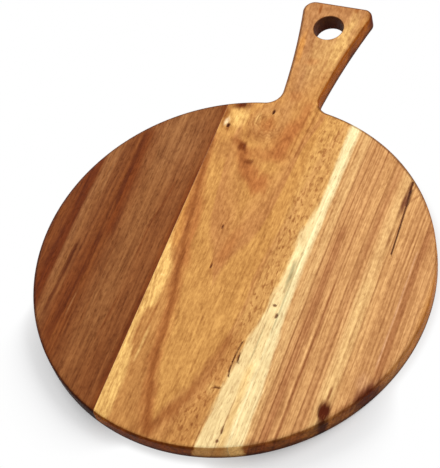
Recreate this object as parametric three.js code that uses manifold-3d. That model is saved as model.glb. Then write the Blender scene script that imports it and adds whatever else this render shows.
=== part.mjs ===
// A round wooden cutting board with a paddle handle and a hanging hole.
//
// Three long-grain staves are glued edge to edge into a flat blank, and the board is sawn, bored and
// rounded over from that blank as one outline. The handle grows out of the centre stave.
//
// Millimetres. The board lies flat with +Z up, and the handle points along +Y.
// The origin is the disc's centre on the underside.
import * as THREE from "three";
import { mergeVertices } from "three/addons/utils/BufferGeometryUtils.js";
import Module from "manifold-3d";

// Driving dimensions of the outline
const discDiameter = 304.8;
const boardThickness = 16;
const edgeRound = 3; // radius of the round-over along every outer edge

// Driving dimensions of the handle
const handleLength = 106.2; // from the disc's rim to the handle's end, along the middle
const handleNeckWidth = 31.4; // across the neck, where the flare begins
const neckDistance = 12.6; // from the disc's rim to that width
const handleSideRadius = 620; // both sides are hollow arcs of this radius
const neckFillet = 13; // radius between the handle's side and the disc's rim
// The end is shaped by hand, so its two corners differ. A reach runs from the middle to a square corner.
const leftReach = 29.9;
const rightReach = 32.9;
const leftCornerRadius = 9.5;
const rightCornerRadius = 7.5;

// Driving dimensions of the hanging hole
const holeDiameter = 24;
const holeToEnd = 25.8; // from the hole's centre to the handle's end
const holeEase = 1; // chamfer at 45 degrees round both ends of the hole

// Driving dimensions of the staves
const leftSeam = -54; // where the left stave meets the centre stave, across the board
const rightSeam = 50.5; // where the centre stave meets the right stave
const glueThickness = 0.2; // one film of cured glue

// How finely round stretches are faceted
const chordError = 0.045; // most that a facet may cut inside its arc
const roundSteps = 5; // facets across one round-over
const cutMargin = 5; // how far a cutting slab reaches past the board

const discRadius = discDiameter / 2;
const handleEnd = discRadius + handleLength;
const holeRadius = holeDiameter / 2;

const wasm = await Module();
wasm.setup();

// Points along an arc, from one angle to another, both ends included.
function arcPoints(centre, radius, fromAngle, toAngle) {
  const step = 2 * Math.acos(1 - chordError / radius);
  const steps = Math.max(2, Math.ceil(Math.abs(toAngle - fromAngle) / step));
  const clockwise = toAngle < fromAngle;
  const arc = new THREE.EllipseCurve(
    centre.x, centre.y, radius, radius, fromAngle, toAngle, clockwise);
  return arc.getPoints(steps);
}

function angleTo(from, to) {
  return Math.atan2(to.y - from.y, to.x - from.x);
}

// The centre of a circle of the given radius through two points, on the right of the way from a to b.
function centreThrough(a, b, radius) {
  const middle = a.clone().add(b).multiplyScalar(0.5);
  const along = b.clone().sub(a);
  const half = along.length() / 2;
  const toRight = new THREE.Vector2(along.y, -along.x).normalize();
  return middle.addScaledVector(toRight, Math.sqrt(radius ** 2 - half ** 2));
}

// Where two circles cross, on the left of the way from the first centre to the second.
function circlesCross(centreA, radiusA, centreB, radiusB) {
  const between = centreB.clone().sub(centreA);
  const distance = between.length();
  const along = (distance ** 2 + radiusA ** 2 - radiusB ** 2) / (2 * distance);
  const aside = Math.sqrt(radiusA ** 2 - along ** 2);
  const unit = between.divideScalar(distance);
  const toLeft = new THREE.Vector2(-unit.y, unit.x);
  return centreA.clone().addScaledVector(unit, along).addScaledVector(toLeft, aside);
}

// One half of the outline above the disc: fillet, hollow side and rounded corner, going up on the right.
// Each arc runs from one tangent point to the next. The last point of one is the first of the other.
function handleSide(endReach, cornerRadius) {
  const origin = new THREE.Vector2(0, 0);
  const neck = new THREE.Vector2(handleNeckWidth / 2, discRadius + neckDistance);
  const tip = new THREE.Vector2(endReach, handleEnd);
  const side = centreThrough(neck, tip, handleSideRadius);

  // The fillet touches the rim from outside and the hollow side from inside.
  const fillet = circlesCross(
    origin, discRadius + neckFillet, side, handleSideRadius - neckFillet);
  const onRim = angleTo(fillet, origin) + 2 * Math.PI;
  const onSideLow = angleTo(side, fillet);

  // The corner touches the side from within the handle and the straight end from below.
  const cornerY = handleEnd - cornerRadius;
  const reach = handleSideRadius + cornerRadius;
  const cornerX = side.x - Math.sqrt(reach ** 2 - (cornerY - side.y) ** 2);
  const corner = new THREE.Vector2(cornerX, cornerY);
  const onSideHigh = angleTo(side, corner);

  const turned = (angle) => (angle < 0 ? angle + 2 * Math.PI : angle);
  const filletArc = arcPoints(fillet, neckFillet, onRim, turned(onSideLow));
  const sideArc = arcPoints(side, handleSideRadius, turned(onSideLow), turned(onSideHigh));
  const cornerArc = arcPoints(corner, cornerRadius, angleTo(corner, side), Math.PI / 2);
  return [...filletArc, ...sideArc.slice(1), ...cornerArc.slice(1)];
}

// The whole outline, counter-clockwise: up the handle's right side, down its left, and round the disc.
function boardOutline() {
  const right = handleSide(rightReach, rightCornerRadius);
  const mirrored = handleSide(leftReach, leftCornerRadius);
  const left = mirrored.map((p) => new THREE.Vector2(-p.x, p.y)).reverse();
  const rimStart = angleTo(new THREE.Vector2(0, 0), left[left.length - 1]);
  const rimEnd = angleTo(new THREE.Vector2(0, 0), right[0]) + 2 * Math.PI;
  const rim = arcPoints(new THREE.Vector2(0, 0), discRadius, rimStart, rimEnd);
  return new THREE.Shape([...right, ...left, ...rim.slice(1, -1)]);
}

// What the drill takes out for the hanging hole: the bore, and a countersink at each face.
// A countersink is centred on its face, so it reaches as far above the face as below it.
function hangingHole() {
  const facets = 2 * Math.ceil(Math.PI / (2 * Math.acos(1 - chordError / holeRadius)));
  const bore = new THREE.CylinderGeometry(
    holeRadius, holeRadius, boardThickness + 2 * cutMargin, facets);
  bore.rotateX(Math.PI / 2).translate(0, 0, boardThickness / 2);
  const widest = holeRadius + 2 * holeEase;
  const upper = new THREE.CylinderGeometry(widest, holeRadius, 2 * holeEase, facets);
  upper.rotateX(Math.PI / 2).translate(0, 0, boardThickness);
  const lower = new THREE.CylinderGeometry(widest, holeRadius, 2 * holeEase, facets);
  lower.rotateX(-Math.PI / 2);
  return [bore, upper, lower].map((cutter) => cutter.translate(0, handleEnd - holeToEnd, 0));
}

// A closed geometry as a solid that can be cut.
function solidOf(geometry) {
  const bare = geometry.clone();
  bare.deleteAttribute("normal");
  bare.deleteAttribute("uv");
  const merged = mergeVertices(bare);
  return new wasm.Manifold(new wasm.Mesh({
    numProp: 3,
    vertProperties: merged.attributes.position.array,
    triVerts: new Uint32Array(merged.index.array),
  }));
}

function geometryOf(solid) {
  const mesh = solid.getMesh();
  const geometry = new THREE.BufferGeometry();
  geometry.setAttribute("position", new THREE.BufferAttribute(mesh.vertProperties, 3));
  geometry.setIndex(new THREE.BufferAttribute(mesh.triVerts, 1));
  const faceted = geometry.toNonIndexed();
  faceted.computeVertexNormals();
  return faceted;
}

// The glued-up blank after it is sawn to its outline, bored and rounded over, still in one piece.
function shapedBlank() {
  const geometry = new THREE.ExtrudeGeometry(boardOutline(), {
    depth: boardThickness - 2 * edgeRound,
    bevelThickness: edgeRound,
    bevelSize: edgeRound,
    bevelOffset: -edgeRound,
    bevelSegments: roundSteps,
    curveSegments: 1,
  });
  geometry.translate(0, 0, edgeRound);
  return hangingHole().reduce((rest, cutter) => rest.subtract(solidOf(cutter)), solidOf(geometry));
}

// What of the blank lies between two planes across the board.
function sliceAcross(blank, fromX, toX) {
  const length = discRadius + handleEnd + 2 * cutMargin;
  const slab = new THREE.BoxGeometry(toX - fromX, length, boardThickness + 2 * cutMargin);
  slab.translate((fromX + toX) / 2, (handleEnd - discRadius) / 2, boardThickness / 2);
  return geometryOf(blank.intersect(solidOf(slab)));
}

const darkHeartwood = new THREE.MeshStandardMaterial({ color: 0x8a5530, roughness: 0.5 });
const goldenHeartwood = new THREE.MeshStandardMaterial({ color: 0xcf9852, roughness: 0.5 });
const stripedHeartwood = new THREE.MeshStandardMaterial({ color: 0xc98f5a, roughness: 0.5 });
const curedGlue = new THREE.MeshStandardMaterial({ color: 0xb98a4e, roughness: 0.4 });

const blank = shapedBlank();
const halfFilm = glueThickness / 2;
const outside = discRadius + cutMargin;
const slices = [
  ["left_stave", -outside, leftSeam - halfFilm, darkHeartwood],
  ["left_glue_line", leftSeam - halfFilm, leftSeam + halfFilm, curedGlue],
  ["centre_stave", leftSeam + halfFilm, rightSeam - halfFilm, goldenHeartwood],
  ["right_glue_line", rightSeam - halfFilm, rightSeam + halfFilm, curedGlue],
  ["right_stave", rightSeam + halfFilm, outside, stripedHeartwood],
];

const board = new THREE.Group();
board.name = "round_cutting_board";
for (const [name, fromX, toX, material] of slices) {
  const piece = new THREE.Mesh(sliceAcross(blank, fromX, toX), material);
  piece.name = name;
  board.add(piece);
}

export default board;
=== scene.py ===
import math
import random

import bmesh
import bpy
from mathutils import Matrix, Vector
from mathutils.geometry import delaunay_2d_cdt


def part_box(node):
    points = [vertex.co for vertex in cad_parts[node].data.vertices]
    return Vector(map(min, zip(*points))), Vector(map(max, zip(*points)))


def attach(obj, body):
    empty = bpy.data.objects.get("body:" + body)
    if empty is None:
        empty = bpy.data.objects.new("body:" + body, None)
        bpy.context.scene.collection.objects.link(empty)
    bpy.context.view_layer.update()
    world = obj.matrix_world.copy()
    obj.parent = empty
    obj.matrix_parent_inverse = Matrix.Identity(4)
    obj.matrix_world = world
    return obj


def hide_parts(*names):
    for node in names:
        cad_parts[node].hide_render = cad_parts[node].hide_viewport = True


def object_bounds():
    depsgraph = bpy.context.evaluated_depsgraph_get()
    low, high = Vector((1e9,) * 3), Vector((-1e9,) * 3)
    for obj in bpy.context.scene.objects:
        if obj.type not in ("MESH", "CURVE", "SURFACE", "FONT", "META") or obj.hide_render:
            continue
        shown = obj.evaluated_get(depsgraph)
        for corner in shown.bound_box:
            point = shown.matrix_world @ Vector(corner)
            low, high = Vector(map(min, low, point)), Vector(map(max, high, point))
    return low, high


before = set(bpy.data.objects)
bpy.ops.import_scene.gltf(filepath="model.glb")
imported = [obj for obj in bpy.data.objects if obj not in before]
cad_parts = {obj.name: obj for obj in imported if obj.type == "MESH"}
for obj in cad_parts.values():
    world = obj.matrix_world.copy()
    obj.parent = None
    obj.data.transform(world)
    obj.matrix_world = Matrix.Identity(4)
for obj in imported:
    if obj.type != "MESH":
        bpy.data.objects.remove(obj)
cadLow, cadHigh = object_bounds()
mm = 0.001
discRadius = (cadHigh.x - cadLow.x) / 2
print("frame loaded:", ", ".join(sorted(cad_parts)))


# Camera

photoView = dict(
    azimuth=35.54,           # degrees round the board, from straight below the handle
    elevation=54.85,
    roll=-18.17,
    offset=(10.77 * mm, -30.5 * mm),   # of the board's origin from the middle of the picture
    distance=1204.1 * mm,
    focalPixels=1600.0,
    pictureHeight=468,       # pixels, the longer side
    sensor=36.0,
)


def makeCamera(view):
    turn, rise, roll = (math.radians(view[key]) for key in ("azimuth", "elevation", "roll"))
    back = Vector((math.sin(turn) * math.cos(rise), -math.cos(turn) * math.cos(rise), math.sin(rise)))
    right = Vector((math.cos(turn), math.sin(turn), 0))
    up = back.cross(right)
    rolledRight = right * math.cos(roll) + up * math.sin(roll)
    rolledUp = up * math.cos(roll) - right * math.sin(roll)
    axes = Matrix((rolledRight, rolledUp, back)).transposed()
    seen = Vector((*view["offset"], -view["distance"]))  # the origin, as the camera has it
    data = bpy.data.cameras.new("photoCamera")
    data.sensor_width = view["sensor"]
    data.lens = view["focalPixels"] * view["sensor"] / view["pictureHeight"]
    camera = bpy.data.objects.new("photoCamera", data)
    camera.matrix_world = Matrix.Translation(-(axes @ seen)) @ axes.to_4x4()
    bpy.context.scene.collection.objects.link(camera)
    bpy.context.scene.camera = camera


makeCamera(photoView)
bpy.context.scene.view_settings.view_transform = "Standard"
print("camera placed")


# Node trees: a value is a socket, and maths on it adds Math nodes

class Val:
    def __init__(self, tree, socket):
        self.tree = tree
        self.socket = socket

    def maths(self, operation, first, second=0.0):
        return self.tree.node("ShaderNodeMath", {"operation": operation}, {0: first, 1: second})

    def __add__(self, other):
        return self.maths("ADD", self, other)

    def __radd__(self, other):
        return self.maths("ADD", other, self)

    def __sub__(self, other):
        return self.maths("SUBTRACT", self, other)

    def __rsub__(self, other):
        return self.maths("SUBTRACT", other, self)

    def __mul__(self, other):
        return self.maths("MULTIPLY", self, other)

    def __rmul__(self, other):
        return self.maths("MULTIPLY", other, self)

    def __truediv__(self, other):
        return self.maths("DIVIDE", self, other)

    def __rtruediv__(self, other):
        return self.maths("DIVIDE", other, self)

    def __pow__(self, other):
        return self.maths("POWER", self, other)

    def __abs__(self):
        return self.maths("ABSOLUTE", self)

    def larger(self, other):
        return self.maths("MAXIMUM", self, other)

    def smaller(self, other):
        return self.maths("MINIMUM", self, other)

    def pingPong(self, scale):  # up to scale and down again
        return self.maths("PINGPONG", self, scale)


class Tree:
    def __init__(self, nodeTree):
        self.nodeTree = nodeTree
        nodeTree.nodes.clear()

    # any node: its type, its settings and what goes into its sockets
    def node(self, kind, settings=None, sockets=None, out=0):
        made = self.nodeTree.nodes.new(kind)
        for name, value in (settings or {}).items():
            if name == "stops":
                self.fillRamp(made.color_ramp, value)
            elif name == "curve":
                self.fillCurve(made.mapping, value)
            else:
                setattr(made, name, value)
        for name, value in (sockets or {}).items():
            if isinstance(value, Val):
                self.nodeTree.links.new(value.socket, made.inputs[name])
            else:
                made.inputs[name].default_value = value
        return Val(self, made.outputs[out]) if made.outputs else None

    def fillRamp(self, ramp, stops):
        while len(ramp.elements) < len(stops):
            ramp.elements.new(1.0)
        for element, (place, colour) in zip(ramp.elements, stops):
            element.position = place
            element.color = colour

    def fillCurve(self, mapping, points):
        curve = mapping.curves[0]
        while len(curve.points) < len(points):
            curve.points.new(0.5, 0.5)
        for point, place in zip(curve.points, points):
            point.location = place
            point.handle_type = "AUTO_CLAMPED"
        mapping.update()

    def split(self, vector):
        parts = self.node("ShaderNodeSeparateXYZ", sockets={0: vector})
        return [Val(self, socket) for socket in parts.socket.node.outputs]

    def join(self, x, y, z):
        return self.node("ShaderNodeCombineXYZ", sockets={0: x, 1: y, 2: z})

    def fade(self, value, low, high):  # 0 at low, 1 at high, smooth between
        return self.node("ShaderNodeMapRange", {"interpolation_type": "SMOOTHSTEP"},
                         {"Value": value, "From Min": low, "From Max": high})

    def blend(self, share, first, second, how="MIX"):
        return self.node("ShaderNodeMix", {"data_type": "RGBA", "blend_type": how},
                         {0: share, 6: first, 7: second}, out=2)

    def bright(self, colour, amount):
        return self.node("ShaderNodeVectorMath", {"operation": "SCALE"}, {0: colour, "Scale": amount})

    def times(self, colour, other):
        return self.node("ShaderNodeVectorMath", {"operation": "MULTIPLY"}, {0: colour, 1: other})

    def measure(self, operation, first, second=(0, 0, 0)):  # a length, a distance or a dot product
        settings, sockets = {"operation": operation}, {0: first, 1: second}
        return self.node("ShaderNodeVectorMath", settings, sockets, out="Value")

    # noise about 0: where it is read, how fine it is along each of the three ways, and its detail
    def noise(self, places, fineness, detail):
        vector = self.join(*(place * fine for place, fine in zip(places, fineness)))
        return self.node("ShaderNodeTexNoise", sockets={
            "Vector": vector, "Scale": 1.0, "Detail": detail, "Roughness": 0.5}) - 0.5

    def place(self):  # in the board's own space, in mm
        return self.split(self.bright(self.node("ShaderNodeTexCoord", out="Object"), 1 / mm))

    def facing(self):
        return self.split(self.node("ShaderNodeTexCoord", out="Normal"))

    # a smooth path through (place, value) points, such as where a growth line lies at each y
    def path(self, value, points):
        places = [point[0] for point in points]
        values = [point[1] for point in points]
        low, high = min(places), max(places)
        least, most = min(values), max(values)
        share = [((place - low) / (high - low), (v - least) / (most - least)) for place, v in points]
        bent = self.node("ShaderNodeFloatCurve", {"curve": sorted(share)},
                         {"Value": (value - low) / (high - low)})
        return bent * (most - least) + least


def newMaterial(name):
    material = bpy.data.materials.new(name)
    material.use_nodes = True
    return material, Tree(material.node_tree)


# a colour as the eye reads it, 0 to 255, in linear light
def paint(red, green, blue):
    def linear(part):
        part /= 255
        return part / 12.92 if part <= 0.04045 else ((part + 0.055) / 1.055) ** 2.4
    return (linear(red), linear(green), linear(blue), 1.0)


# The blank: the glued board after it is sawn, bored and sanded, before it is cut into its pieces again

boardShape = dict(
    edgeRound=3.0 * mm,      # along every outer edge
    holeRound=1.0 * mm,      # and round the hole
    neckWidth=31.4 * mm,
    neckDistance=12.6 * mm,  # from the disc's rim
    sideRadius=620 * mm,     # the handle's hollow sides
    neckFillet=13 * mm,
    leftReach=29.9 * mm,     # from the middle to the handle's corners, as if they were square
    rightReach=32.9 * mm,
    leftCorner=9.5 * mm,
    rightCorner=7.5 * mm,
    holeDiameter=24 * mm,
    holeToEnd=25.8 * mm,
    rimStep=2.0 * mm,        # between points along the outline
    arcSteps=14,             # least number of them along one arc of the handle
    holeSides=72,
    roundSteps=8,
    wallSteps=4,
    faceStep=3.2 * mm,       # between points of the flat faces
    rowShare=0.866,          # of that step, between their rows
    holeShare=0.7,           # of it, between them and the hole
    jitter=0.15,             # of it, so that they aren't in a pattern
    jitterSeed=7,
    firstRow=0.6 * mm,       # from the round-over to the first row of points
    seamShare=0.99,          # of the disc's radius: a piece's side further out is rim, and not a seam
    sharpAngle=35,           # degrees
)
handleEnd = cadHigh.y
thickness = cadHigh.z
holeCentre = Vector((0, handleEnd - boardShape["holeToEnd"]))

# Small faults of the wood that are real hollows, in mm: pin holes and knots, and cracks along a path.
# Half widths run across and along the grain.
pits = dict(
    leftKnot=dict(at=(-47.0, 121.3), size=(1.3, 1.9), depth=1.0),
    neckPin=dict(at=(-15.4, 141.4), size=(0.9, 2.1), depth=0.9),
    swirlEyeHigh=dict(at=(-28.3, 104.6), size=(1.9, 1.7), depth=0.25),
    swirlEyeLow=dict(at=(-17.2, 91.6), size=(2.2, 1.5), depth=0.25),
    fleckHigh=dict(at=(-17.6, 29.4), size=(0.7, 2.2), depth=0.4),
    fleckLow=dict(at=(-13.7, -5.6), size=(0.7, 2.2), depth=0.4),
    sapPitHigh=dict(at=(44.4, -26.2), size=(1.5, 1.0), depth=0.5),
    sapPitLow=dict(at=(48.4, -34.2), size=(1.0, 2.2), depth=0.5),
    lowPit=dict(at=(41.4, -140.0), size=(1.0, 1.4), depth=0.4),
    rimKnot=dict(at=(106.4, -99.4), size=(3.4, 4.8), depth=0.3),
)
cracks = dict(
    crackTop=dict(path=[(110.6, 101.0), (111.2, 92.0), (112.0, 80.0)], width=1.1, depth=0.7),
    crackHair=dict(path=[(112.0, 80.0), (112.9, 60.0), (113.6, 36.5)], width=0.6, depth=0.5),
    edgeCrack=dict(path=[(31.6, -61.0), (30.6, -69.0), (30.2, -78.0), (30.4, -86.0), (31.4, -90.0)],
                   width=0.6, depth=0.4),
    sideCrack=dict(path=[(33.2, -70.0), (33.8, -77.0)], width=0.5, depth=0.3),
    crossCrack=dict(path=[(24.6, -100.6), (28.8, -100.2)], width=0.75, depth=0.5),
    lowCrack=dict(path=[(41.6, -128.5), (42.2, -133.5)], width=0.6, depth=0.4),
)
hollows = dict(              # in half widths of a pit or widths of a crack, but for the step in mm
    pitReach=1.4,
    crackReach=1.2,
    pitRings=(0.35, 0.7, 1.05, 1.4, 1.8),   # close points round a pit
    pitSides=14,
    crackRows=(-2.4, -1.2, -0.5, 0, 0.5, 1.2, 2.4),   # and along a crack
    crackStep=0.7,
)


def angleTo(start, end):
    return math.atan2(end.y - start.y, end.x - start.x)


def arcPoints(centre, radius, start, end, count):  # the last point is left to the next stretch
    angles = (start + (end - start) * i / count for i in range(count))
    return [centre + Vector((math.cos(a), math.sin(a))) * radius for a in angles]


# one side of the handle as three tangent arcs: centre, radius, how an inset changes it, angles
def handleArcs(shape, reach, cornerRadius):
    neck = Vector((shape["neckWidth"] / 2, discRadius + shape["neckDistance"]))
    tip = Vector((reach, handleEnd))
    along = tip - neck
    toRight = Vector((along.y, -along.x)).normalized()
    hollow = math.sqrt(shape["sideRadius"] ** 2 - (along.length / 2) ** 2)
    side = (neck + tip) / 2 + toRight * hollow
    outer, inner = discRadius + shape["neckFillet"], shape["sideRadius"] - shape["neckFillet"]
    distance = side.length
    forward = (distance ** 2 + outer ** 2 - inner ** 2) / (2 * distance)
    unit = side / distance
    fillet = unit * forward + Vector((-unit.y, unit.x)) * math.sqrt(outer ** 2 - forward ** 2)
    cornerY = handleEnd - cornerRadius
    span = shape["sideRadius"] + cornerRadius
    corner = Vector((side.x - math.sqrt(span ** 2 - (cornerY - side.y) ** 2), cornerY))
    full = 2 * math.pi
    onSideLow, onSideHigh = angleTo(side, fillet) % full, angleTo(side, corner) % full
    return [
        (fillet, shape["neckFillet"], 1, angleTo(fillet, Vector((0, 0))) % full, onSideLow),
        (side, shape["sideRadius"], 1, onSideLow, onSideHigh),
        (corner, cornerRadius, -1, angleTo(corner, side), math.pi / 2),
    ]


# that side going up on the right, drawn in by an inset
def handleSide(shape, side, inset):
    points = []
    arcs = handleArcs(shape, shape[side + "Reach"], shape[side + "Corner"])
    for centre, radius, grows, start, end in arcs:
        count = max(shape["arcSteps"], math.ceil(radius * abs(end - start) / shape["rimStep"]))
        points += arcPoints(centre, radius + grows * inset, start, end, count)
        last = centre + Vector((math.cos(end), math.sin(end))) * (radius + grows * inset)
    return points + [last]


# the outline, counter-clockwise from the right fillet, drawn in by an inset that leaves as many points
def outline(shape, inset):
    right = handleSide(shape, "right", inset)
    left = [Vector((-p.x, p.y)) for p in reversed(handleSide(shape, "left", inset))]
    endSteps = max(2, math.ceil((right[-1] - left[0]).length / shape["rimStep"]))
    across = [right[-1].lerp(left[0], i / endSteps) for i in range(1, endSteps)]
    start, end = angleTo(Vector((0, 0)), left[-1]), angleTo(Vector((0, 0)), right[0]) + 2 * math.pi
    count = math.ceil(discRadius * (end - start) / shape["rimStep"])
    rim = arcPoints(Vector((0, 0)), discRadius - inset, start, end, count)[1:]
    return right + across + left + rim


def holeRing(shape, inset):
    return arcPoints(holeCentre, shape["holeDiameter"] / 2 + inset, 0, 2 * math.pi, shape["holeSides"])


def distanceToPath(point, path):
    nearest = math.inf
    for start, end in zip(path, path[1:]):
        a, along = Vector(start), Vector(end) - Vector(start)
        share = min(1, max(0, (point - a).dot(along) / along.length_squared))
        nearest = min(nearest, (point - a - along * share).length)
    return nearest


# how far the face is hollowed at a point, in mm
def hollowAt(point):
    deepest = 0.0
    pitReach, crackReach = hollows["pitReach"], hollows["crackReach"]
    for pit in pits.values():
        off = (point.x - pit["at"][0]) / pit["size"][0], (point.y - pit["at"][1]) / pit["size"][1]
        near = math.hypot(*off)
        if near < pitReach:
            deepest = max(deepest, pit["depth"] * (1 - (near / pitReach) ** 2) ** 2)
    for crack in cracks.values():
        near = distanceToPath(point, crack["path"]) / crack["width"]
        if near < crackReach:
            deepest = max(deepest, crack["depth"] * (1 - near / crackReach))
    return deepest


# close points round each fault, so that the hollow has a shape
def faultPoints():
    points = []
    for pit in pits.values():
        points.append(Vector(pit["at"]))
        for ring in hollows["pitRings"]:
            stagger = ring * 10 % 2 / 2  # so that the rings aren't in line
            for i in range(hollows["pitSides"]):
                angle = 2 * math.pi * (i + stagger) / hollows["pitSides"]
                off = Vector((math.cos(angle) * pit["size"][0], math.sin(angle) * pit["size"][1]))
                points.append(Vector(pit["at"]) + off * ring)
    for crack in cracks.values():
        for start, end in zip(crack["path"], crack["path"][1:]):
            a, along = Vector(start), Vector(end) - Vector(start)
            steps = math.ceil(along.length / hollows["crackStep"])
            aside = Vector((-along.y, along.x)).normalized() * crack["width"]
            for i in range(steps + 1):
                for shift in hollows["crackRows"]:
                    points.append(a + along * (i / steps) + aside * shift)
    return points


# points of a flat face: its edge rows, an even field inside, and close ones round the faults
def facePoints(shape):
    inset, holeInset, first = shape["edgeRound"], shape["holeRound"], shape["firstRow"]
    edge, hole = outline(shape, inset), holeRing(shape, holeInset)
    second = outline(shape, inset + first) + holeRing(shape, holeInset + first)
    step, most = shape["faceStep"], shape["jitter"]
    rowStep = step * shape["rowShare"]
    chance = random.Random(shape["jitterSeed"])
    guard = outline(shape, inset + step)
    field = []
    for row in range(math.ceil((handleEnd + discRadius) / rowStep)):
        y = -discRadius + row * rowStep
        for column in range(math.ceil(2 * discRadius / step)):
            x = -discRadius + (column + row % 2 / 2) * step
            jitter = Vector((chance.uniform(-most, most), chance.uniform(-most, most))) * step
            field.append(Vector((x, y)) + jitter)
    holeClear = shape["holeDiameter"] / 2 + holeInset + step * shape["holeShare"]
    faults = [p * mm for p in faultPoints()]
    crowded = {(round(p.x / step), round(p.y / step)) for p in faults}
    inside = [p for p in field if insideLoop(p, guard) and (p - holeCentre).length > holeClear
              and (round(p.x / step), round(p.y / step)) not in crowded]
    faults = [p for p in faults if insideLoop(p, guard)]
    return edge, hole, second + inside + faults


def insideLoop(point, loop):
    inside = False
    for a, b in zip(loop, loop[1:] + loop[:1]):
        if (a.y > point.y) != (b.y > point.y):
            if point.x < a.x + (point.y - a.y) / (b.y - a.y) * (b.x - a.x):
                inside = not inside
    return inside


# rows down a wall as inset and drop: the upper round-over, the plain wall, the lower round-over
def wallRows(shape, radius):
    steps, wallSteps = shape["roundSteps"], shape["wallSteps"]
    angles = [math.pi / 2 * i / steps for i in range(1, steps + 1)]
    bends = [(radius * (1 - math.sin(a)), radius * (1 - math.cos(a))) for a in angles]
    plain = [(0, radius + (thickness - 2 * radius) * i / wallSteps) for i in range(1, wallSteps)]
    return bends + plain + [(inset, thickness - drop) for inset, drop in reversed(bends)]


# triangles between closed loops: the points, three of them for each triangle, and where given points went
def fillLoops(loops, free):
    points, ties = [], []
    for loop in loops:
        first, count = len(points), len(loop)
        ties += [(first + i, first + (i + 1) % count) for i in range(count)]
        points += loop
    insideOnly, tolerance = 1, 1e-9
    flat, _, triangles, origins, _, _ = delaunay_2d_cdt(points + free, ties, [], insideOnly, tolerance)
    return flat, triangles, origins


def makeBlank(shape):
    edge, hole, free = facePoints(shape)
    loops = [(0, len(edge)), (len(edge), len(hole))]
    flat, triangles, origins = fillLoops([edge, hole], free)
    placeOf = {given: i for i, givens in enumerate(origins) for given in givens}
    bored = {placeOf[len(edge) + i] for i in range(len(hole))}

    bm = bmesh.new()
    top = [bm.verts.new((p.x, p.y, thickness - hollowAt(p / mm) * mm)) for p in flat]
    low = [bm.verts.new((p.x, p.y, 0)) for p in flat]
    for a, b, c in triangles:
        if not bored.issuperset((a, b, c)):  # not across the hole
            bm.faces.new((top[a], top[b], top[c]))
            bm.faces.new((low[c], low[b], low[a]))

    rounds = shape["edgeRound"], shape["holeRound"]
    for (first, count), ringAt, radius in zip(loops, (outline, holeRing), rounds):
        rows = [[top[placeOf[first + i]] for i in range(count)]]
        for inset, drop in wallRows(shape, radius):
            rows.append([bm.verts.new((p.x, p.y, thickness - drop)) for p in ringAt(shape, inset)])
        rows.append([low[placeOf[first + i]] for i in range(count)])
        for upper, lower in zip(rows, rows[1:]):
            for i in range(count):
                j = (i + 1) % count
                bm.faces.new((upper[i], lower[i], lower[j], upper[j]))
    loose = [v for v in bm.verts if not v.link_faces]
    bmesh.ops.delete(bm, geom=loose, context="VERTS")
    bmesh.ops.recalc_face_normals(bm, faces=bm.faces[:])
    return bm


# one piece of the board: what of the blank lies between two planes across it
def cutPiece(blank, name, node, shape):
    low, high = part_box(node)
    bm = blank.copy()
    onPlane = 1e-7           # points this near to the cut lie on it
    for x, outward in ((low.x, -1), (high.x, 1)):
        if abs(x) > discRadius * shape["seamShare"]:
            continue
        everything = bm.verts[:] + bm.edges[:] + bm.faces[:]
        cut = bmesh.ops.bisect_plane(bm, geom=everything, dist=onPlane, plane_co=(x, 0, 0),
                                     plane_no=(outward, 0, 0), clear_outer=True)
        edges = [item for item in cut["geom_cut"] if isinstance(item, bmesh.types.BMEdge)]
        cap = bmesh.ops.edgeloop_fill(bm, edges=edges)
        bmesh.ops.triangulate(bm, faces=cap["faces"])
    bmesh.ops.recalc_face_normals(bm, faces=bm.faces[:])
    mesh = bpy.data.meshes.new(name)
    bm.to_mesh(mesh)
    bm.free()
    mesh.shade_smooth()
    mesh.set_sharp_from_angle(angle=math.radians(shape["sharpAngle"]))
    piece = bpy.data.objects.new(name, mesh)
    bpy.context.scene.collection.objects.link(piece)
    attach(piece, "root")
    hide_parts(node)
    return piece


blank = makeBlank(boardShape)
print("blank shaped:", len(blank.faces), "faces")

pieceList = [
    ("dark_stave", "left_stave", "dark_heartwood"),
    ("golden_stave", "centre_stave", "golden_heartwood"),
    ("striped_stave", "right_stave", "striped_heartwood"),
    ("left_glue_film", "left_glue_line", "cured_glue"),
    ("right_glue_film", "right_glue_line", "cured_glue"),
]
pieces = {}
for name, node, slot in pieceList:
    pieces[name] = cutPiece(blank, name, node, boardShape)
    print("cut", name, len(pieces[name].data.polygons), "faces")
blank.free()


# Studio: a pale floor, a soft lamp on either side behind the board, and an even fill

studio = dict(
    fill=0.42,
    floorSize=30.0,          # across the round floor
    floorSides=96,
    floorInset=4.4 * mm,     # the floor is cut out under the board, so that the underside has light
    holeInset=1.5 * mm,      # but it still shows through the hole
    floorColour=(0.93, 0.93, 0.935, 1.0),
    contactWhite=0.6,        # share of the floor that the camera sees as plain white, close to the board
    contactReach=0.007,      # and how far out from the rim that lasts
    shadows=[(-128, -0.35), (-50, -0.3)],   # two soft ones: turn as below, and change of that share
    shadowSpread=0.87,       # how far round they reach, as a cosine
    shadowReach=0.052,       # and how far out from the rim
)
lamps = dict(                # turn runs round the board from +X, and height up from the floor, in degrees
    softKey=dict(turn=44, height=40, distance=2.2, size=1.4, power=29.0),
    softBack=dict(turn=146, height=30, distance=2.2, size=1.2, power=27.0),
)


def heading(turn, height=0.0):  # a unit vector
    turn, height = math.radians(turn), math.radians(height)
    level = math.cos(height)
    return Vector((math.cos(turn) * level, math.sin(turn) * level, math.sin(height)))


def makeLamp(name, settings):
    towards = heading(settings["turn"], settings["height"])
    data = bpy.data.lights.new(name, "AREA")
    data.shape = "DISK"
    data.size = settings["size"]
    data.energy = settings["power"]
    lamp = bpy.data.objects.new(name, data)
    lamp.location = towards * settings["distance"]
    lamp.rotation_euler = towards.to_track_quat("Z", "Y").to_euler()
    bpy.context.scene.collection.objects.link(lamp)


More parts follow.
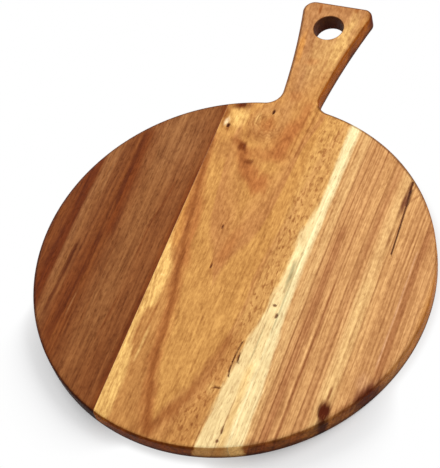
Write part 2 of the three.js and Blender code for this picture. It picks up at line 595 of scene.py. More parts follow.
# rays that see the floor and the world as plain white: the camera's, and those in a gloss or in glass
def seeWhite(tree):
    kinds = tree.node("ShaderNodeLightPath").socket.node.outputs
    names = "Is Camera Ray", "Is Glossy Ray", "Is Transmission Ray"
    camera, gloss, glass = (Val(tree, kinds[name]) for name in names)
    return camera.larger(gloss).larger(glass)


def makeWorld(settings):
    world = bpy.data.worlds.new("studio")
    world.use_nodes = True
    bpy.context.scene.world = world
    tree = Tree(world.node_tree)
    fill = settings["fill"]
    light = tree.node("ShaderNodeBackground", sockets={
        "Color": (1, 1, 1, 1), "Strength": seeWhite(tree) * (1 - fill) + fill})
    tree.node("ShaderNodeOutputWorld", sockets={"Surface": light})


# white to the camera away from the board, matte to the light, and clear from below
def floorMaterial(settings):
    material, tree = newMaterial("paleFloor")
    matte = tree.node("ShaderNodeBsdfDiffuse", sockets={"Color": settings["floorColour"]})
    white = tree.node("ShaderNodeEmission", sockets={"Color": (1, 1, 1, 1), "Strength": 1.0})
    place = tree.node("ShaderNodeTexCoord", out="Object")
    out = tree.measure("LENGTH", place)
    reach, share = settings["contactReach"], settings["contactWhite"]
    for turn, change in settings["shadows"]:
        facing = tree.measure("DOT_PRODUCT", place, heading(turn)) / out
        lobe = tree.fade(facing, settings["shadowSpread"], 1.0)
        reach = lobe * (settings["shadowReach"] - settings["contactReach"]) + reach
        share = lobe * change + share
    shown = tree.fade((out - discRadius) / reach, 0.0, 1.0)
    glow = share + shown * (1 - share)
    seen = tree.node("ShaderNodeMixShader", sockets={0: seeWhite(tree) * glow, 1: matte, 2: white})
    clear = tree.node("ShaderNodeBsdfTransparent")
    under = tree.node("ShaderNodeNewGeometry", out="Backfacing")
    both = tree.node("ShaderNodeMixShader", sockets={0: under, 1: seen, 2: clear})
    tree.node("ShaderNodeOutputMaterial", sockets={"Surface": both})
    return material


def makeFloor(settings, shape):
    rim = arcPoints(Vector((0, 0)), settings["floorSize"] / 2, 0, 2 * math.pi, settings["floorSides"])
    cutOut, plug = outline(shape, settings["floorInset"]), holeRing(shape, settings["holeInset"])
    flat, triangles, _ = fillLoops([rim, cutOut, plug], [])
    faces = []
    for corners in triangles:
        middle = sum((flat[i] for i in corners), Vector((0, 0))) / 3
        if insideLoop(middle, plug) or not insideLoop(middle, cutOut):
            faces.append(corners)
    mesh = bpy.data.meshes.new("floor")
    mesh.from_pydata([(p.x, p.y, 0) for p in flat], [], faces)
    floor = bpy.data.objects.new("floor", mesh)
    bpy.context.scene.collection.objects.link(floor)
    mesh.materials.append(floorMaterial(settings))


for name, settings in lamps.items():
    makeLamp(name, settings)
makeWorld(studio)
makeFloor(studio, boardShape)
print("studio lit")


# Wood: a stave's figure is worked out in mm in the board's own space, so that it runs on over the rim.
# Each stave has a few named tones, 0 to 255 as the eye reads them, and its figure is laid in those.

grains = dict(               # noise along the grain: fineness across it and along it, and detail
    slow=(0.02, 0.008, 1.0),
    quick=(0.15, 0.03, 2.0),
    rag=(0.35, 0.06, 4.0),   # ragged edges
    lines=(0.4, 0.004, 4.0),
    hairLines=(0.9, 0.004, 3.0),
    fibre=(0.7, 0.03, 3.0),
    fleck=(0.6, 0.26, 3.0),
    mottle=(0.1, 0.05, 3.0),
    lumps=(0.26, 0.19, 3.0),
    specks=(0.45, 0.2, 2.0),
    pores=(0.9, 0.16, 1.0),
    gaps=(0.05, 0.3, 1.0),   # where cracks come and go
)
oiled = dict(                # what all staves share; most pairs are where a fade begins and is full
    poreFade=(0.08, 0.2),
    patchFade=(1.15, 0.2),   # in half sizes of the patch
    patchRag=1.2,
    streakFade=(1.25, 0.1),  # in half widths of the streak
    streakRag=1.4,
    streakEnds=(4, 8),       # mm out from its end, and back from it
    pitFade=(1.4, 0.4),
    pitRag=1.2,
    crackFade=(1.5, 0.2),
    crackRag=2,
    gapFade=(0.02, -0.12),
    faultDepth=(5, 2),       # mm below the upper face
    paleSmooth=0.6,          # sapwood is smoother by this share
    redden=(1.35, 1.6),      # dark grain loses green and blue by these powers
    endGrain=(0.2, 0.95),
    sideRim=(0.95, 0.6),     # how far the rim faces up
    endRim=(0.99, 0.88),     # and where it is end grain
    rings=((0.13, 0.06, 0.2), 3.0),   # on the rim: fineness across, along and up, and detail
    ringDepth=(0.7, 1.8),    # and what end grain adds to it
    edgeShadeWay=(-0.57, 0.82),   # painted shade darkens the round-over that faces back, on the handle's left
    edgeShadeTop=(0.9995, 0.97),
    edgeShadeFoot=(0.1, 0.5),
    edgeShadeSide=(-0.1, 0.1),
    edgeShadeShare=0.65,
    footShade=(8, 2),           # and painted shade darkens the foot of the rim too, in mm
    relief=dict(fibre=0.5, fleck=0.3, lines=0.4, pores=0.6),
    bump=dict(Strength=0.3, Distance=0.2 * mm),
    poreRough=0.2,
    fibreRough=0.3,
    specular=0.045,
)


class Figure:
    def __init__(self, name, settings):
        self.material, self.tree = newMaterial(name)
        self.tones = settings["tones"]
        tree = self.tree
        self.x, self.y, self.z = tree.place()
        self.depth = thickness / mm - self.z
        slow, quick = self.grain(self.x, "slow"), self.grain(self.x, "quick")
        self.across = self.x + self.depth * settings["lean"]
        self.across = self.across + slow * settings["drift"] + quick * settings["ripple"]
        if "bend" in settings:
            self.across = self.across - tree.path(self.y, settings["bend"])
        self.flat = tree.join(self.across, self.y, 0.0)
        self.rag = self.grain(self.across, "rag")
        self.lines = self.grain(self.across, "lines")
        self.fibre = self.grain(self.across, "fibre")
        self.fleck = self.grain(self.across, "fleck")
        self.mottle = self.grain(self.across, "mottle")
        self.pores = tree.fade(self.grain(self.across, "pores"), *oiled["poreFade"])
        self.pale = 0.0      # where the rim is sapwood, and stays pale
        self.bored = 0.0     # where the rim is the wall of the hole
        self.tone = None

    def grain(self, across, kind):
        fine, along, detail = grains[kind]
        return self.tree.noise((across, self.y, self.z), (fine, along, fine), detail)

    # the tone at each place across the stave
    def bands(self, across, stops):
        low, high = stops[0][0], stops[-1][0]
        shares = [((place - low) / (high - low), paint(*self.tones[tone])) for place, tone in stops]
        self.tone = self.ramp(across, low, high, shares)

    def ramp(self, across, low, high, stops):
        share = (across - low) / (high - low)
        return self.tree.node("ShaderNodeValToRGB", {"stops": stops}, {0: share})

    def stain(self, mask, tone):
        self.tone = self.tree.blend(mask, self.tone, paint(*self.tones[tone]))

    # thin growth lines at places across the stave, each with a half width and a strength
    def growthLines(self, lines, tone, amount):
        most, margin = 9, 1  # lines in one ramp, and mm past them
        for first in range(0, len(lines), most):
            group = lines[first:first + most]
            low, high = group[0][0] - group[0][1] - margin, group[-1][0] + group[-1][1] + margin
            stops = []
            for place, half, strength in group:
                for x, level in ((place - half, 0), (place, strength), (place + half, 0)):
                    stops.append(((x - low) / (high - low), (level, level, level, 1)))
            self.stain(self.ramp(self.across, low, high, stops) * amount, tone)

    # how far a place is from a spot, in half sizes of it
    def fromSpot(self, place, at, size, turn=0.0):
        off = self.tree.node("ShaderNodeMapping", {"vector_type": "TEXTURE"}, {
            "Vector": place, "Location": (*at, 0), "Rotation": (0, 0, math.radians(turn)),
            "Scale": (*size, 1)})
        return self.tree.measure("LENGTH", off)

    # soft ragged patches: middle, half sizes, turn in degrees, tone and strength
    def patches(self, listed, ragged=oiled["patchRag"]):
        for at, size, turn, tone, strength in listed:
            far = self.fromSpot(self.flat, at, size, turn) + self.rag * ragged
            self.stain(self.tree.fade(far, *oiled["patchFade"]) * strength, tone)

    # streaks along the grain: a path of (y, x) points, half width, tone and strength
    def streaks(self, listed, ragged=oiled["streakRag"]):
        tree = self.tree
        past, back = oiled["streakEnds"]
        for path, width, tone, strength in listed:
            low, *_, high = sorted(point[0] for point in path)
            off = abs(self.across - tree.path(self.y, path)) / width
            shown = tree.fade(self.y, low - past, low + back) * tree.fade(self.y, high + past, high - back)
            self.stain(tree.fade(off + self.rag * ragged, *oiled["streakFade"]) * shown * strength, tone)

    # the dark inside of the hollows in the upper face, partly the wood's own dark and partly painted shade,
    # and how much of a crack is gaps
    def faults(self, pitNames, crackNames, tone, strength, gaps=0.0):
        tree = self.tree
        shallow = tree.fade(self.depth, *oiled["faultDepth"]) * strength
        here = tree.join(self.x, self.y, 0.0)
        for name in pitNames:
            far = self.fromSpot(here, pits[name]["at"], pits[name]["size"]) + self.rag * oiled["pitRag"]
            self.stain(tree.fade(far, *oiled["pitFade"]) * shallow, tone)
        if gaps:
            shallow = shallow * (1 - tree.fade(self.grain(self.across, "gaps"), *oiled["gapFade"]) * gaps)
        for name in crackNames:
            path, width = cracks[name]["path"], cracks[name]["width"]
            fade = [width * share for share in oiled["crackFade"]]
            for start, end in zip(path, path[1:]):
                along = Vector((*end, 0)) - Vector((*start, 0))
                off = tree.node("ShaderNodeVectorMath", {"operation": "SUBTRACT"},
                                {0: here, 1: (*start, 0)})
                share = tree.measure("DOT_PRODUCT", off, along / along.length_squared)
                foot = tree.bright(tuple(along), share.larger(0.0).smaller(1.0))
                far = tree.measure("DISTANCE", off, foot) + self.rag * width * oiled["crackRag"]
                self.stain(tree.fade(far, *fade) * shallow, tone)

    # fine grain over the tone, the darker rim and end grain, partly the wood's own and partly painted
    # shade, painted shade on the far round-over and at the rim's foot, then the oiled surface
    def finish(self, piece, look):
        tree = self.tree
        fine = self.fibre * look["fibreDepth"] + self.fleck * look["fleckDepth"]
        shade = 1 + self.lines * look["lineDepth"] + self.mottle * look["mottleDepth"]
        shade = shade + fine * (1 - self.pale * oiled["paleSmooth"])
        self.tone = tree.times(self.tone, tree.join(shade, *(shade ** power for power in oiled["redden"])))
        self.stain(self.pores * look["poreDepth"], look["darkGrain"])

        # the rim tints: partly the wood's own darker sides and end grain, and partly painted shade
        right, along, up = tree.facing()
        upright = abs(up)
        endGrain = tree.fade(abs(along), *oiled["endGrain"])
        rimFade = [side + endGrain * (end - side) for side, end in zip(oiled["sideRim"], oiled["endRim"])]
        rim = tree.fade(upright, *rimFade) * (1 - self.bored)
        tint = tree.blend(endGrain, look["sideTint"], look["endTint"])
        rings = tree.noise((self.x, self.y, self.z), *oiled["rings"])
        sideDepth, endDepth = oiled["ringDepth"]
        tint = tree.bright(tint, 1 + rings * (sideDepth + endGrain * endDepth))
        tint = tree.blend(self.pale, tint, look["paleTint"])
        self.tone = tree.blend(rim, self.tone, tint, "MULTIPLY")

        # painted shade on the round-over that faces back and to the left, in the edge tint
        away = along * oiled["edgeShadeWay"][1] + right * oiled["edgeShadeWay"][0]
        edgeShade = tree.fade(upright, *oiled["edgeShadeTop"]) * tree.fade(upright, *oiled["edgeShadeFoot"])
        edgeShade = edgeShade * tree.fade(away, *oiled["edgeShadeSide"]) * oiled["edgeShadeShare"]
        # painted shade at the foot of the rim, where it meets the floor, in the edge tint
        footShade = tree.fade(self.z, *oiled["footShade"]) * rim
        for mask in (edgeShade, footShade):
            self.tone = tree.blend(mask, self.tone, look["edgeTint"], "MULTIPLY")

        relief = oiled["relief"]
        height = self.fibre * relief["fibre"] + self.fleck * relief["fleck"] + self.lines * relief["lines"]
        height = height - self.pores * relief["pores"]
        bump = tree.node("ShaderNodeBump", sockets={**oiled["bump"], "Height": height})
        gloss = look["rough"] + self.pores * oiled["poreRough"] + self.fibre * oiled["fibreRough"]
        surface = tree.node("ShaderNodeBsdfPrincipled", sockets={
            "Base Color": self.tone, "Roughness": gloss, "Specular IOR Level": oiled["specular"],
            "Normal": bump})
        tree.node("ShaderNodeOutputMaterial", sockets={"Surface": surface})
        piece.data.materials.append(self.material)


# Left stave: dark brown heartwood with reddish streaks

darkStave = dict(
    lean=0.35,               # of the growth layers, across for each mm of depth
    drift=2.0,               # how far they wander, slowly
    ripple=1.0,              # and quickly
    tones=dict(
        umber=(94, 38, 9), russet=(116, 52, 16), brown=(127, 67, 28), walnut=(138, 80, 40),
        chestnut=(148, 92, 49), fawn=(166, 111, 66), pore=(78, 34, 12)),
    bands=[
        (-153, "russet"), (-147, "brown"), (-140, "russet"), (-134, "russet"), (-131, "walnut"),
        (-127, "chestnut"), (-119, "walnut"), (-111, "brown"), (-104, "brown"), (-98, "walnut"),
        (-91, "chestnut"), (-80, "chestnut"), (-70, "walnut"), (-60, "walnut"), (-57, "brown"),
        (-54, "russet"),
    ],
    patches=[
        ((-82, 105), (32, 48), 0, "fawn", 0.45),
        ((-66, 128), (12, 8), 0, "chestnut", 0.5),
        ((-92, -112), (50, 50), 0, "brown", 0.4),
        ((-114, -55), (11, 62), 0, "russet", 0.6),
        ((-143, 5), (7, 60), 0, "brown", 0.75),
        ((-58.5, 108), (5, 40), 0, "walnut", 0.75),
    ],
    streaks=[
        ([(104, -106.5), (80, -106), (50, -105), (20, -103.5), (0, -102.5)], 5.0, "russet", 0.75),
        ([(100, -109.3), (80, -109), (50, -108), (30, -107)], 2.0, "umber", 0.7),
        ([(62, -137), (30, -136.5), (0, -138), (-39, -138.5)], 3.4, "umber", 0.6),
        ([(70, -133.5), (30, -133), (0, -134.5), (-30, -137)], 1.4, "umber", 0.5),
        ([(85, -129), (40, -129.5), (0, -130.5), (-50, -130.5)], 3.0, "fawn", 0.5),
        ([(80, -124), (50, -123.5), (35, -123)], 1.8, "fawn", 0.5),
        ([(-8, -122.5), (-40, -123), (-78, -123.5)], 1.8, "umber", 0.75),
        ([(-25, -119.6), (-60, -120)], 1.0, "chestnut", 0.5),
        ([(5, -108), (-30, -108.5), (-55, -109.5), (-95, -112)], 2.6, "umber", 0.65),
        ([(-64, -103.3), (-85, -103.6), (-110, -104.5)], 0.9, "umber", 0.6),
        ([(-50, -105.4), (-74, -106)], 0.8, "fawn", 0.5),
        ([(60, -68.5), (35, -71), (12, -73.5), (-15, -73.5)], 1.1, "russet", 0.6),
        ([(-42, -73), (-67, -74.5), (-88, -76.5)], 1.1, "russet", 0.5),
        ([(4, -93), (-40, -93.5), (-80, -92)], 0.9, "brown", 0.5),
        ([(-16, -88), (-62, -88.6)], 0.8, "brown", 0.45),
        ([(-40, -56), (-80, -56.5), (-125, -58)], 2.8, "umber", 0.6),
    ],
    # the side and end tints are partly the wood's own darker rim and partly painted shade; the edge tint is
    # painted shade
    look=dict(lineDepth=0.95, fibreDepth=0.95, fleckDepth=0.75, mottleDepth=0.55, poreDepth=0.35, rough=0.5,
              darkGrain="pore", sideTint=(0.5, 0.32, 0.2, 1.0), endTint=(0.12, 0.06, 0.02, 1.0),
              paleTint=(0.62, 0.46, 0.34, 1.0), edgeTint=(0.2, 0.14, 0.1, 1.0)),
)


def dressDarkStave(piece, settings):
    wood = Figure("darkHeartwood", settings)
    wood.bands(wood.across, settings["bands"])
    wood.patches(settings["patches"])
    wood.streaks(settings["streaks"])
    wood.finish(piece, settings["look"])


# Centre stave: golden heartwood whose growth layers stand one inside the other as pointed arches,
# with a swirl of brown below the handle and pale sapwood along both edges

goldenStave = dict(
    lean=0.35,
    drift=2.0,
    ripple=1.0,
    tones=dict(
        honey=(211, 151, 81), gold=(207, 146, 81), amber=(199, 136, 77), marigold=(224, 152, 72),
        cinnamon=(187, 115, 60), hazel=(158, 92, 43), umber=(112, 46, 7), hollow=(78, 18, 0),
        wheat=(236, 186, 112), butter=(250, 199, 117), cream=(252, 221, 159), ivory=(254, 236, 180),
        blush=(254, 221, 172), tan=(190, 132, 81), ginger=(191, 130, 70), stone=(160, 145, 102),
        bore=(84, 42, 24)),
    pith=[                   # where the arches point, at each y
        (-153, -10.5), (-130, -10), (-110, -7.3), (-90, -5.3), (-60, -4.8), (-40, -5), (-20, -6.8),
        (0, -9), (60, -9), (100, -10), (140, -6), (259, 0)],
    rise=[                   # of an arch, at each distance aside
        (0, 0), (2, 8), (5, 18), (8.25, 28), (14.25, 38), (17.9, 48), (20.75, 58), (23.25, 73),
        (24.75, 88), (27, 108), (28.75, 128), (30.5, 148), (38.5, 208), (60, 369)],
    riseLean=3.0,            # the arches move on by this for each mm of depth
    riseRag=10,
    archLines=((0.09, 0.03, 0.05), 4.0),   # fineness up the arches, across and in depth, and detail
    eye=dict(                # rings that curl round a point
        at=(-16.5, 131), reach=(23, 9), start=105, step=3.2, ring=1.7, wobble=6, ragged=4, dark=0.2,
        slant=0.5, below=(131, 121), strength=0.5),
    curly=dict(span=(50, 100), slant=0.35, depth=1.4, calm=0.25),   # figure towards the handle
    bands=[
        (-420, "gold"), (-190, "gold"), (-160, "amber"), (-147, "gold"), (-135, "honey"),
        (-26, "honey"), (-16, "amber"), (5, "amber"), (35, "gold"), (60, "honey"), (120, "gold"),
        (180, "tan"), (259, "tan"),
    ],
    archLeft=[
        (112, -55), (90, -53.4), (74, -51.5), (60, -49.3), (40, -46.6), (20, -43.4), (0, -39.8),
        (-20, -35.8), (-40, -32), (-60, -28.8), (-75, -27.6), (-90, -25.6), (-100, -24),
        (-110, -21.2), (-120, -18.4), (-130, -15.8), (-140, -12.8), (-150, -10)],
    archInside=[(52, -43.5), (20, -39), (0, -36.4), (-12, -33.5)],
    archRight=[
        (-55, 22), (-70, 19.5), (-80, 17.5), (-90, 15.2), (-100, 12.6), (-108, 10), (-115, 7),
        (-122, 2.5), (-130, -2), (-140, -7), (-150, -10)],
    archSides=[("archInside", 5.0, "cinnamon", 0.8), ("archLeft", 6.5, "cinnamon", 0.8),
               ("archLeft", 3.2, "hazel", 0.95), ("archRight", 6.0, "hazel", 0.75)],
    archOutside=(1, -5),
    washes=[                 # outside the left arch: tone, strength and fades along y
        ("ginger", 0.85, [(-32, -58)]),
        ("marigold", 0.45, [(75, 45), (-4, 12)]),
    ],
    swirl=[
        ([(112, -39), (107, -32), (101, -27), (93, -23.5), (86, -19.5), (79, -14), (72, -8), (65, -3)],
         8.5, "cinnamon", 1.0),
        ([(111, -38), (107, -32), (101, -27), (93, -23.5), (86, -20), (79, -15), (70, -8)],
         4.2, "hazel", 0.7),
        ([(158, 11), (145, 10), (130, 8)], 6, "cinnamon", 0.75),
        ([(138, 8.5), (125, 5), (112, 3), (94, 1)], 11, "cinnamon", 1.0),
        ([(152, 12.6), (120, 11.6), (100, 11)], 1.0, "hazel", 0.7),
        ([(152, 19), (120, 16.8), (100, 15.6)], 1.1, "hazel", 0.7),
    ],
    swirlRag=0.7,
    patches=[
        ((-42, 98), (13, 15), 0, "ginger", 0.9),
        ((-14, 100), (15, 9), 0, "cinnamon", 0.55),
        ((-24, 116), (13, 8), 0, "hazel", 0.5),
        ((-25.5, 132), (3.6, 8), 0, "wheat", 0.55),
        ((-15, 128), (8, 9), 0, "cinnamon", 0.8),
        ((1, -128), (8, 10), -25, "hazel", 0.5),
        ((-20, -124), (6, 18), -17, "hazel", 0.35),
        ((20, -92), (11, 30), -14, "amber", 0.5),
        ((23.5, -102), (4, 7), 0, "wheat", 0.55),
        ((-7, 12), (6.5, 24), -9, "cinnamon", 0.6),
        ((-4, 74), (11, 13), 0, "cinnamon", 1.0),
        ((-14, 83), (10, 14), 30, "cinnamon", 0.9),
        ((-1, 89), (9, 6), 0, "honey", 0.8),
        ((-41, 130.5), (9, 13), 0, "butter", 0.85),
        ((-52.5, 131), (3, 11), 0, "hazel", 0.95),
        ((-49.3, 124.5), (2.4, 5), 0, "blush", 0.9),
        ((-46.8, 120), (2.2, 4), 0, "hazel", 0.7),
        ((-43, 142), (8, 5), 12, "umber", 1.0),
        ((-42, 143.5), (5.5, 3), 12, "hollow", 0.8),
        ((-33, 107.8), (5.5, 1.9), -35, "hazel", 0.75),
        ((-28.5, 104), (4.4, 5.0), 0, "umber", 0.85),
        ((-18, 91.2), (5.0, 3.6), 0, "umber", 0.7),
        ((-46.4, -21.8), (3.4, 1.1), 0, "blush", 0.8),
        ((3, 205), (14, 40), 0, "wheat", 0.4),
        ((15.5, 221), (8, 36), -4, "wheat", 0.8),
        ((0, 256), (26, 7), 0, "hazel", 0.3),
        ((-15.5, 208), (3.6, 20), 5, "marigold", 0.65),
        ((-2, 196), (8, 5), 20, "cinnamon", 0.5),
        ((-3, 160), (9, 7), 0, "cinnamon", 0.45),
        ((-13, 251), (2.0, 8.5), 6, "hazel", 1.0),
        ((17, 255.5), (2.4, 4), 0, "hazel", 0.8),
        # painted shade on the handle's right corner
        ((31.5, 253), (6, 9), 0, "umber", 1.0),
        ((28, 218), (3.6, 9), -10, "umber", 0.7),
    ],
    streaks=[
        ([(122, -46.4), (117, -46), (112, -45.4)], 1.1, "hazel", 0.75),
        ([(-44, -41), (-60, -41.4), (-74, -42)], 1.3, "hazel", 0.6),
        ([(-52, -46.5), (-80, -47), (-118, -47.4)], 1.6, "ginger", 0.7),
        ([(-66, -40.2), (-80, -40), (-96, -40.4)], 1.4, "wheat", 0.8),
        ([(-58, -48), (-88, -47.4), (-122, -47.6)], 0.9, "hazel", 0.55),
        ([(-74, -50.6), (-100, -50.2), (-146, -49.4)], 0.6, "hazel", 0.6),
        ([(-100, 11.2), (-108, 9.6), (-120, 8.4)], 1.6, "hazel", 0.5),
        ([(44, -12), (29, -17), (-6, -13.4), (-18, -10)], 0.7, "hazel", 0.45),
    ],
    speckEdge=[
        (-150, -2), (-125, 1), (-105, 9), (-85, 14), (-60, 18), (-20, 21), (60, 23), (150, 25), (259, 60)],
    specks=dict(span=(0, 7), fade=(0.03, 0.14), tone="hazel", strength=0.65),
    specksPale=dict(span=(-70, -40), tone="wheat", strength=0.3),   # the wood between them, along y
    sapRight=[
        (-153, 27.6), (-120, 29), (-100, 30.4), (-80, 32), (-65, 34), (-50, 36.2), (-40, 37.6),
        (-28, 39.6), (-16, 40.6), (0, 41.6), (20, 42), (34, 41.8), (44, 43), (56, 45.8), (68, 47.6),
        (100, 48.6), (145, 48), (259, 60)],
    sapRightFades=[((-5, 2), "wheat", 0.5), ((-1.6, 2.4), "cream", 1.0)],
    sapLeft=[
        (-153, -42), (-130, -42.5), (-115, -42.5), (-100, -44), (-88, -47), (-75, -50), (-60, -50.4),
        (-50, -46), (-40, -43), (-20, -42.5), (-8, -46), (0, -49), (15, -52.6), (40, -55), (259, -62)],
    sapLeftFade=(2.6, -2.4),
    sapLeftStrength=0.85,
    sapRag=6,
    palest=0.8,
    sapStrips=[
        ([(150, 52), (100, 51.8), (60, 52.4), (20, 52.6), (-40, 52.2), (-90, 52), (-152, 53)],
         3.2, "ivory", 0.9),
        ([(-75, 44.5), (-100, 45), (-152, 45.4)], 3.6, "wheat", 0.6),
        ([(-8, 38.6), (-30, 38.4), (-48, 37.6)], 0.8, "hazel", 0.35),
        ([(-12, 41.4), (-36, 41), (-62, 40.2)], 0.7, "hazel", 0.3),
        ([(-38, 43.4), (-78, 42.8)], 0.7, "stone", 0.5),
        ([(30, 49.6), (0, 49.8), (-50, 49.8)], 0.8, "stone", 0.5),
        ([(-104, 42.6), (-126, 42.2), (-150, 41.6)], 0.7, "hazel", 0.5),
        ([(-120, 27.8), (-135, 27.2), (-152, 26.4)], 0.9, "hazel", 0.6),
    ],
    sapStain=[((47.4, 2), (2.8, 23), 0, "stone", 0.8)],
    faults=[(["leftKnot", "neckPin"], [], "hollow", 0.95),
            (["fleckHigh", "fleckLow", "sapPitHigh", "sapPitLow", "lowPit"],
             ["edgeCrack", "sideCrack", "crossCrack", "lowCrack"], "umber", 0.85, 0.7)],
    bore=dict(past=(0.9, 0.2), strength=0.95, deep=(5, 14), deepStrength=0.6),   # wall of the hole: partly its own darker wood and partly painted shade, with painted shade deeper in
    # the side and end tints are partly the wood's own darker rim and partly painted shade; the edge tint is
    # painted shade
    look=dict(lineDepth=0.4, fibreDepth=0.75, fleckDepth=0.85, mottleDepth=0.6, poreDepth=0.3, rough=0.5,
              darkGrain="hazel", sideTint=(0.48, 0.27, 0.07, 1.0), endTint=(0.3, 0.14, 0.03, 1.0),
              paleTint=(0.64, 0.43, 0.27, 1.0), edgeTint=(0.22, 0.15, 0.1, 1.0)),
)


# growth layers as arches that curl round the eye, and the curly figure towards the handle
def layArches(wood, settings):
    tree, eye, curly = wood.tree, settings["eye"], settings["curly"]
    aside = abs(wood.across - tree.path(wood.y, settings["pith"]))
    arch = wood.y - tree.path(aside, settings["rise"]) + wood.depth * settings["riseLean"]
    arch = arch + wood.rag * settings["riseRag"]
    fromEye = tree.measure("DISTANCE", wood.flat, (*eye["at"], 0))
    inEye = tree.fade(fromEye, *eye["reach"])
    arch = arch + (fromEye * eye["step"] + eye["start"] - arch) * inEye
    wood.bands(arch, settings["bands"])
    wood.lines = tree.noise((arch, wood.across, wood.z), *settings["archLines"])
    lumps = wood.grain(wood.across + wood.y * curly["slant"], "lumps")
    inCurly = tree.fade(wood.y, *curly["span"])
    wood.mottle = wood.mottle + (lumps * curly["depth"] - wood.mottle) * inCurly
    calm = 1 - inCurly * curly["calm"]
    wood.fibre, wood.fleck = wood.fibre * calm, wood.fleck * calm
    return fromEye, inEye


# the brown sides of the arches, the swirl and the rings round the eye
def layBrown(wood, settings, fromEye, inEye):
    tree, eye = wood.tree, settings["eye"]
    outside = tree.fade(wood.across - tree.path(wood.y, settings["archLeft"]), *settings["archOutside"])
    for tone, strength, stretches in settings["washes"]:
        mask = outside
        for stretch in stretches:
            mask = mask * tree.fade(wood.y, *stretch)
        wood.stain(mask * strength, tone)
    wood.streaks([(settings[side], *rest) for side, *rest in settings["archSides"]])
    wood.streaks(settings["swirl"], settings["swirlRag"])
    wood.patches(settings["patches"])
    rings = (fromEye + wood.mottle * eye["wobble"] + wood.rag * eye["ragged"]).pingPong(eye["ring"])
    below = tree.fade(wood.y + wood.across * eye["slant"], *eye["below"])
    dark = tree.fade(rings, eye["ring"] * eye["dark"], eye["ring"])
    wood.stain(dark * inEye * below * eye["strength"], "hazel")
    wood.streaks(settings["streaks"])


def laySpecks(wood, settings):
    tree, specks, between = wood.tree, settings["specks"], settings["specksPale"]
    speckled = tree.fade(wood.grain(wood.across, "specks"), *specks["fade"])
    inSpecks = tree.fade(wood.across - tree.path(wood.y, settings["speckEdge"]), *specks["span"])
    wood.stain(inSpecks * tree.fade(wood.y, *between["span"]) * between["strength"], between["tone"])
    wood.stain(speckled * inSpecks * specks["strength"], specks["tone"])


def laySapwood(wood, settings):
    tree = wood.tree
    ragged = wood.rag * settings["sapRag"]
    toSap = wood.across - tree.path(wood.y, settings["sapRight"]) + ragged
    for fade, tone, strength in settings["sapRightFades"]:
        sapRight = tree.fade(toSap, *fade)
        wood.stain(sapRight * strength, tone)
    toSap = wood.across - tree.path(wood.y, settings["sapLeft"]) + ragged
    sapLeft = tree.fade(toSap, *settings["sapLeftFade"])
    wood.stain(sapLeft * (settings["sapLeftStrength"] + wood.lines), "butter")
    wood.pale = sapRight * settings["palest"]
    wood.streaks(settings["sapStrips"])
    wood.patches(settings["sapStain"])


# the dark wall of the hole, partly the bored wood's own darker tone and partly painted shade, with more
# painted shade towards its foot
def layBore(wood, bore):
    tree = wood.tree
    fromHole = tree.measure("DISTANCE", tree.join(wood.x, wood.y, 0.0), (*(holeCentre / mm), 0))
    holeRadius = boardShape["holeDiameter"] / 2 / mm
    wood.bored = tree.fade(fromHole, *(holeRadius + past for past in bore["past"]))
    wood.stain(wood.bored * bore["strength"], "bore")
    # painted shade, deeper in the hole
    wood.stain(wood.bored * tree.fade(wood.depth, *bore["deep"]) * bore["deepStrength"], "hollow")


def dressGoldenStave(piece, settings):
    wood = Figure("goldenHeartwood", settings)
    layBrown(wood, settings, *layArches(wood, settings))
    laySpecks(wood, settings)
    laySapwood(wood, settings)
    for fault in settings["faults"]:
        wood.faults(*fault)
    layBore(wood, settings["bore"])
    wood.finish(piece, settings["look"])


# Right stave: straight growth lines, pale sapwood at the seam and one dark knot near the rim

